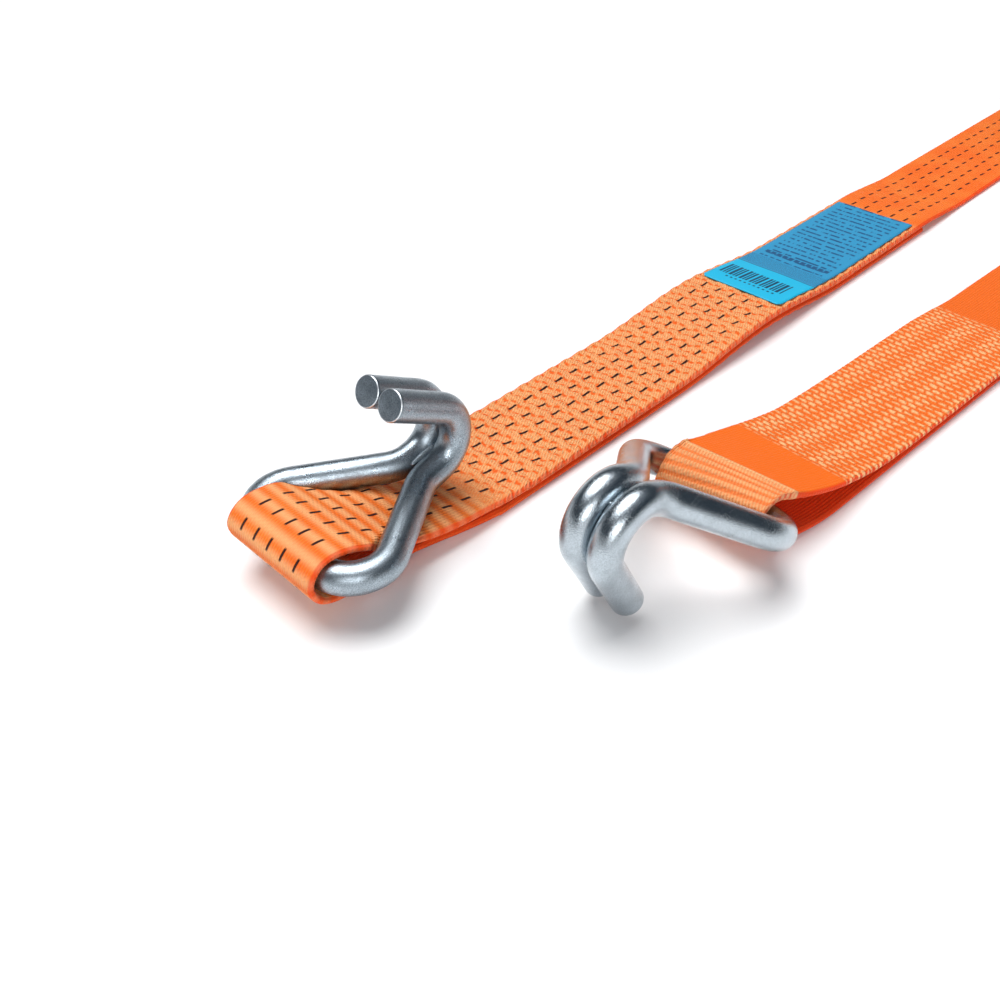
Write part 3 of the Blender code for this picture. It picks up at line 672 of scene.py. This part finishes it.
def fixed_shape(y, z):
    """Pinch and droop of the fixed webbing, as sums of sin squared stretches: drawn in by 2 mm round the
    bar, by 1.2 mm more on the upper ply behind it and by 6.5 mm more on the lower one, which is 1.5 mm
    wider a side where it is sewn. The upper ply's edges droop by 3.4 mm under the hook's legs."""
    upper = (z > 0.16 * (-60 - y) + UPPER - 1).astype(float)
    pinch = 2.0 * bump(y, -150, -96) + 1.2 * bump(y, -112, -60) * upper
    wide = 1.5 * step(y, -30, 0) * (1 - step(y, 250, 272))
    return pinch + (6.5 * bump(y, -131, -40) - wide) * (1 - upper), 3.4 * bump(y, -116, -50) * upper


def fixed_relief(u, v, y, z):
    """Upper ply only. Where it is sewn: 0.38 mm times a cosine along v, one ridge to a tracer dash, swayed
    by two sines of u, plus 0.16 mm times a cosine across. Round the bar: puckers of 0.16 mm times a sine
    along v."""
    upper = (z > LOWER + 1.6).astype(float)
    stitched = step(y, -52, -34) * (1 - step(y, 262, 274)) * upper
    wander = 1.1 * np.sin(u / 3.1 + 0.05 * v) + 0.7 * np.sin(u / 1.3 + v / 21)
    ridges = np.cos(2 * np.pi * (v + wander + TRACER_PITCH / 2) / TRACER_PITCH)
    quilt = 0.38 * ridges + 0.16 * np.cos(4 * np.pi * u / TRACER_ROWS)
    puckers = 0.16 * np.sin(2 * np.pi * v / 6.2 + np.sin(u / 6.0)) * bump(y, -134, -40)
    return stitched * quilt + puckers * upper


fixed = resample(fixed_path(), 1.25)
on_lower_ply = np.arange(len(fixed)) < 0.25 * len(fixed)
v_zero = np.argmin(np.abs(fixed[:, 0]) + 100 * on_lower_ply)
fixed_hook_at_rest = hook_route(FIXED_SWING, True, FIXED_BAR)
fixed_webbing = webbing("sewn_fixed_webbing", fixed, place, fixed_shape, fixed_relief,
                        -run_length(fixed)[v_zero], wires=[fixed_hook_at_rest], pull=(0, 0, -0.4))
fixed_webbing.data.materials.append(fixed_cloth())
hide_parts("fixed_webbing")
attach(fixed_webbing, "fixed_end")


def loose_path():
    """Middle of the loose webbing's lead in (y, z) from its bar: the lower ply, a curve round the bar, the
    sewn upper ply, and down to the floor as far as the roll, which it meets where the outer turn comes
    down."""
    loop = catmull([(60, LOWER), (34, LOWER), (20, 2.4), (9, 4.8), (1.5, 7.4), (-4.8, 9.6), (-8.2, 14.0),
                    (-8.3, 19.4), (-6.0, 23.6), (-0.6, 25.3), (7, 23.9), (18, 20.0), (30, 15.8), (43, 12.0),
                    (56, 8.8), (70, 6.2), (90, 5.0)], 12)
    down = catmull([(174, UPPER), (192, 3.2), (210, LOWER), (230, LOWER)], 8)
    end = ROLL_Y - LOOSE_BAR[1] - math.sqrt(2 * ROLL_R * (WEB_THICK + 0.6)) - 1.0
    return np.vstack([[(175, LOWER), (110, LOWER)], loop, [(120, UPPER), (150, UPPER)], down, [(end, LOWER)]])


def loose_shape(y, z):
    """Pinch and droop of the loose webbing: drawn in by 2 mm times sin squared round the bar, edges level."""
    return 2.0 * bump(y, -34, 40), 0.0 * y


def loose_relief(u, v, y, z):
    """Upper ply only, with past as v beyond the slanting end of the cover: 0.32 mm times a cosine of past
    for the ribs, a 0.7 mm line of sin squared at the cover's end, and 0.2 mm times a swayed cosine of v
    where it is sewn."""
    upper = step(z, LOWER + 1.0, LOWER + 2.4)
    past = v - COVER_END - COVER_SLANT * u
    ribs = 0.32 * np.cos(2 * np.pi * past / RIB_PITCH) * step(v, -27, -24) * (1 - step(past, -2, 0))
    line = 0.7 * bump(past, -4.0, 1.0)
    stitched = step(v, 42, 45) * (1 - step(v, 198, 203))
    rows = 0.2 * np.cos(2 * np.pi * (v + np.sin(u / 2.3)) / RIB_PITCH) * stitched
    return (ribs + line + rows) * upper


loose = resample(loose_path(), 0.9)
over_bar = np.argmax(loose[:, 1])
loose_hook_swung = [hook_route(LOOSE_SWING + turn, False, (0, 0, LOOSE_BAR[2]))
                    for turn in range(0, LOOSE_SWING_RANGE + 1, 15)]
loose_webbing = webbing("sewn_loose_webbing", loose, loose_place, loose_shape, loose_relief,
                        -run_length(loose)[over_bar], wires=loose_hook_swung, slack=0.3, ease=6)
loose_webbing.data.materials.append(loose_cloth())
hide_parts("loose_webbing_lead")
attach(loose_webbing, "loose_end")


def roll_path():
    """From the end of the lead along the floor, then a spiral whose radius falls by one thickness a turn,
    from the outer radius to the core."""
    pitch = WEB_THICK + 0.05
    reach = ROLL_R - WEB_THICK / 2
    turns = (reach - ROLL_CORE) / pitch
    a = np.linspace(0, 2 * np.pi * turns, int(turns * 64))
    r = reach - pitch * a / (2 * np.pi) - 0.1
    spiral = np.stack([ROLL_Y - LOOSE_BAR[1] + r * np.sin(a), ROLL_R - r * np.cos(a)], -1)
    lead = np.stack([np.linspace(loose[-1, 0], spiral[0, 0], 8)[:-1], np.full(7, LOWER)], -1)
    return np.vstack([lead, spiral])


def roll_shape(y, z):
    """No pinch and no droop."""
    return 0.0 * y, 0.0 * y


def roll_relief(u, v, y, z):
    """Smooth, because the turns lie on each other."""
    return 0.0 * u


roll = roll_path()
loose_roll = webbing("rolled_loose_webbing", roll, loose_place, roll_shape, roll_relief, 0.0,
                     outer_count=10, inner_count=10)
loose_roll.data.materials.append(plain_cloth())
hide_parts("loose_webbing_roll")
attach(loose_roll, "loose_end")


def care_label():
    """A thin sheet on the arch of the upper ply, 0.8 mm above its face, plus a 0.12 mm ripple that is a
    sine along times a sine across. Its front corners are drawn back by up to 2 mm over the outer 7
    percent."""
    y = np.linspace(*LABEL_SPAN, 100)
    a = np.linspace(-1, 1, 30)
    yy, aa = np.meshgrid(y, a, indexing="ij")
    corner = 2.0 * np.clip(np.abs(aa) - 0.93, 0, 1) / 0.07 * (1 - step(yy, LABEL_SPAN[0], LABEL_SPAN[0] + 3))
    ripple = 0.12 * np.sin(yy / 4.4) * np.sin(aa * 4 + 1)
    x = aa * LABEL_HALF
    top = UPPER + WEB_THICK / 2 + 0.8 + lift(yy) + ripple
    sheet = np.stack([x, yy + corner, top], -1)
    under = np.stack([x, yy + corner, top - LABEL_THICK], -1)
    rows, columns = sheet.shape[:2]
    count = rows * columns
    quads = [grid_faces(rows, columns, False, False, flip=True),
             grid_faces(rows, columns, False, False) + count]
    index = np.arange(count).reshape(rows, columns)
    loop = np.concatenate([index[0, :-1], index[:-1, -1], index[-1, :0:-1], index[:0:-1, 0]])
    ahead = np.roll(loop, -1)
    quads.append(np.stack([loop, ahead, ahead + count, loop + count], -1))
    points = np.concatenate([sheet.reshape(-1, 3), under.reshape(-1, 3)])
    uv = np.stack([x, yy], -1).reshape(-1, 2)
    return make("printed_label", place(points), np.vstack(quads), (), np.concatenate([uv, uv]))


label = care_label()
label.data.materials.append(label_print())
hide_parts("care_label")
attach(label, "fixed_end")


# ---------------------------------------------------------------- hooks

HOOK_STEEL = {"fixed": zinc("dull hook zinc", srgb(176, 188, 197), 0.27, worn=True, grain=0.7),
              "loose": zinc("bright hook zinc", srgb(194, 204, 211), 0.17, worn=True, grain=0.4)}
SHEET_STEEL = zinc("pressed zinc", srgb(180, 188, 198), 0.3)
DARK_STEEL = zinc("dark zinc", srgb(140, 147, 156), 0.36)


def hook(kind, swing, claws_up, to_world, bar, body):
    """The double claw hook: one round wire from claw tip to claw tip, round the bar. Its weld bead lies in
    the groove between the legs, on the run from crest to bend: a tube whose radius is 1.5 mm times the root
    of sin squared, with small sines in its line and its radius."""
    out, up = hook_directions(swing, claws_up)
    wire = tube(f"{kind}_claw_hook", hook_route(swing, claws_up, bar), WIRE_R, to_world, sides=40, bevel=0.6)
    wire.data.materials.append(HOOK_STEEL[kind])
    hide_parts(f"{kind}_hook")
    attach(wire, body)
    run = np.array(BEND) - np.array(CREST)
    along = run / np.linalg.norm(run)
    d = np.linspace(1.0, 17.0, 40)
    groove = 3.1 + 0.15 * np.sin(d / 1.7)
    seam = np.array(CREST) + along * d[:, None] + np.array([-along[1], along[0]]) * groove[:, None]
    radius = 1.5 * np.sqrt(np.clip(bump(d, -1.0, 19.0), 0.03, 1)) + 0.06 * np.sin(d / 0.8)
    bead_line = out * seam[:, :1] + up * seam[:, 1:] + np.array(bar)
    bead = tube(f"{kind}_weld_bead", bead_line, radius, to_world, sides=20)
    bead.data.materials.append(HOOK_STEEL[kind])
    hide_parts(f"{kind}_hook_weld")
    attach(bead, body)


hook("fixed", FIXED_SWING, True, place, FIXED_BAR, "fixed_hook_body")
hook("loose", LOOSE_SWING, False, loose_place, (0, 0, LOOSE_BAR[2]), "loose_hook_body")


# ---------------------------------------------------------------- ratchet

def coil(name, start, end, replaced):
    """Compression spring that stretches between its two bodies: a helix from start to end, with its cos part
    along x, and turns a little closer at both ends."""
    turns, coil_r, wire_r = 6, 2.7, 0.55
    start, end = np.array(start, float), np.array(end, float)
    direction = (end - start) / np.linalg.norm(end - start)
    side = np.array([1.0, 0.0, 0.0])
    other = np.cross(side, direction)
    t = np.linspace(0, 1, turns * 28)[:, None]
    rise = wire_r + (np.linalg.norm(end - start) - 2 * wire_r) * (t * 0.86 + 0.14 * step(t, 0, 1))
    turn = 2 * np.pi * turns * t
    points = start + direction * rise + coil_r * (np.cos(turn) * side + np.sin(turn) * other)
    spring = tube(name, points, wire_r, place, sides=10, bevel=0.1)
    spring.data.materials.append(DARK_STEEL)
    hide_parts(replaced)
    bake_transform(spring)


# The lock spring lies on the slope of the frame's slots, the drive spring along the closed handle.
LOCK_SLOPE = np.array([0.0, math.cos(math.radians(210)), math.sin(math.radians(210))])
HANDLE_WAY = np.array([0.0, -1.0, 0.0])
coil("lock_coil_spring", SPINDLE + LOCK_SLOPE * 36.3, SPINDLE + LOCK_SLOPE * 46.7,
     "lock_pawl_spring")
coil("drive_coil_spring", SPINDLE + HANDLE_WAY * 50.3, SPINDLE + HANDLE_WAY * 61.7,
     "drive_pawl_spring")


def ribbed_grip():
    """Sleeve on the handle's tube: outer radius 12.2 mm plus 0.75 mm times a clipped sine along x, plain
    near the ends and narrower at them; inner radius the tube's."""
    half, rib_pitch, bore = 33.9, 5.2, 7.8
    x = np.linspace(-half, half, 160)
    r = 12.2 + 0.75 * np.clip(2.0 * np.sin(x * 2 * np.pi / rib_pitch), -1, 1) * (np.abs(x) < half - 3)
    r[[0, -1]] = 11.4
    profile = np.concatenate([np.stack([x, r], -1), [(half, bore), (-half, bore)]])
    return lathe("ribbed_grip", profile, SPINDLE + np.array([0.0, -176.0, 2.0]))


grip = ribbed_grip()
grip.data.materials.append(grip_rubber())
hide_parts("handle_grip")
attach(grip, "handle")

# Every CAD part that stays gets sheet steel, and the fasteners a darker zinc.
dark = ("anchor_bolt", "anchor_nut", "washer_left", "washer_right", "cotter_left", "cotter_right")
for name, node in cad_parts.items():
    if not node.hide_render:
        node.data.materials.clear()
        node.data.materials.append(DARK_STEEL if name in dark else SHEET_STEEL)


# ---------------------------------------------------------------- floor, light and camera

def floor():
    """A wide pale plane 0.2 mm under the tie down, with a faint broad noise in its tone."""
    half, height = 30.0, -0.0002
    points = [(-half, -half, height), (half, -half, height), (half, half, height), (-half, half, height)]
    plane = make("floor", points, np.array([[0, 1, 2, 3]]))
    m = Mix("floor")
    tone = m.colour(m.ramp(m.noise(3.0, 2.0), 0.3, 0.7), (0.93, 0.93, 0.93), (0.95, 0.95, 0.95))
    plane.data.materials.append(m.finish(tone, 0.9))


def area_light(name, at, target, size, power):
    """A white rectangular lamp at a place, turned to its target."""
    data = bpy.data.lights.new(name, "AREA")
    data.shape = "RECTANGLE"
    data.size, data.size_y = size
    data.energy = power
    lamp = bpy.data.objects.new(name, data)
    bpy.context.scene.collection.objects.link(lamp)
    lamp.location = at
    lamp.rotation_euler = (Vector(target) - Vector(at)).to_track_quat("-Z", "Y").to_euler()


def studio():
    """World coloured by the height of the direction: pale at the horizon, dark above it and grey overhead.
    A wide soft sun lights from above and a weak lamp from the front."""
    world = bpy.data.worlds.new("studio")
    bpy.context.scene.world = world
    world.use_nodes = True
    tree = world.node_tree
    split = tree.nodes.new("ShaderNodeSeparateXYZ")
    tree.links.new(tree.nodes.new("ShaderNodeTexCoord").outputs["Generated"], split.inputs[0])
    ramp = tree.nodes.new("ShaderNodeValToRGB")
    stops = ((0.0, (0.66, 0.67, 0.68)), (0.17, (0.58, 0.59, 0.60)), (0.25, (0.02, 0.03, 0.045)),
             (0.6, (0.03, 0.045, 0.06)), (0.84, (0.25, 0.27, 0.3)), (1.0, (0.38, 0.39, 0.41)))
    ramp.color_ramp.elements[0].position, ramp.color_ramp.elements[1].position = 0.0, 1.0
    for position, colour in stops[1:-1]:
        ramp.color_ramp.elements.new(position)
    for element, (position, colour) in zip(ramp.color_ramp.elements, stops):
        element.position, element.color = position, (*colour, 1.0)
    tree.links.new(split.outputs[2], ramp.inputs[0])
    background = tree.nodes["Background"]
    tree.links.new(ramp.outputs[0], background.inputs[0])
    background.inputs[1].default_value = 1.0
    sun = bpy.data.lights.new("overhead", "SUN")
    sun.energy, sun.angle = 3.05, math.radians(44)
    lamp = bpy.data.objects.new("overhead", sun)
    bpy.context.scene.collection.objects.link(lamp)
    lamp.rotation_euler = Vector((-0.45, 0.1, 1.5)).to_track_quat("Z", "Y").to_euler()
    area_light("front", (0.9, -1.3, 0.8), (0.0, -0.2, 0.0), (0.9, 0.6), 9)


def camera():
    """A 36.4 mm lens on a 36 mm sensor, given by its place and its right, up and backward directions."""
    data = bpy.data.cameras.new("camera")
    data.sensor_width, data.lens = 36.0, 36.41
    data.clip_start, data.clip_end = 0.02, 60.0
    eye = bpy.data.objects.new("camera", data)
    bpy.context.scene.collection.objects.link(eye)
    right, up = (0.71067, 0.70342, -0.01210), (-0.44733, 0.46509, 0.76393)
    backward = (0.54299, -0.53749, 0.64519)
    turned = Matrix(np.array([right, up, backward]).T.tolist()).to_4x4()
    eye.matrix_world = Matrix.Translation((0.18291, -0.54565, 0.24698)) @ turned
    bpy.context.scene.camera = eye


floor()
studio()
camera()
bpy.context.scene.view_settings.view_transform = "Standard"
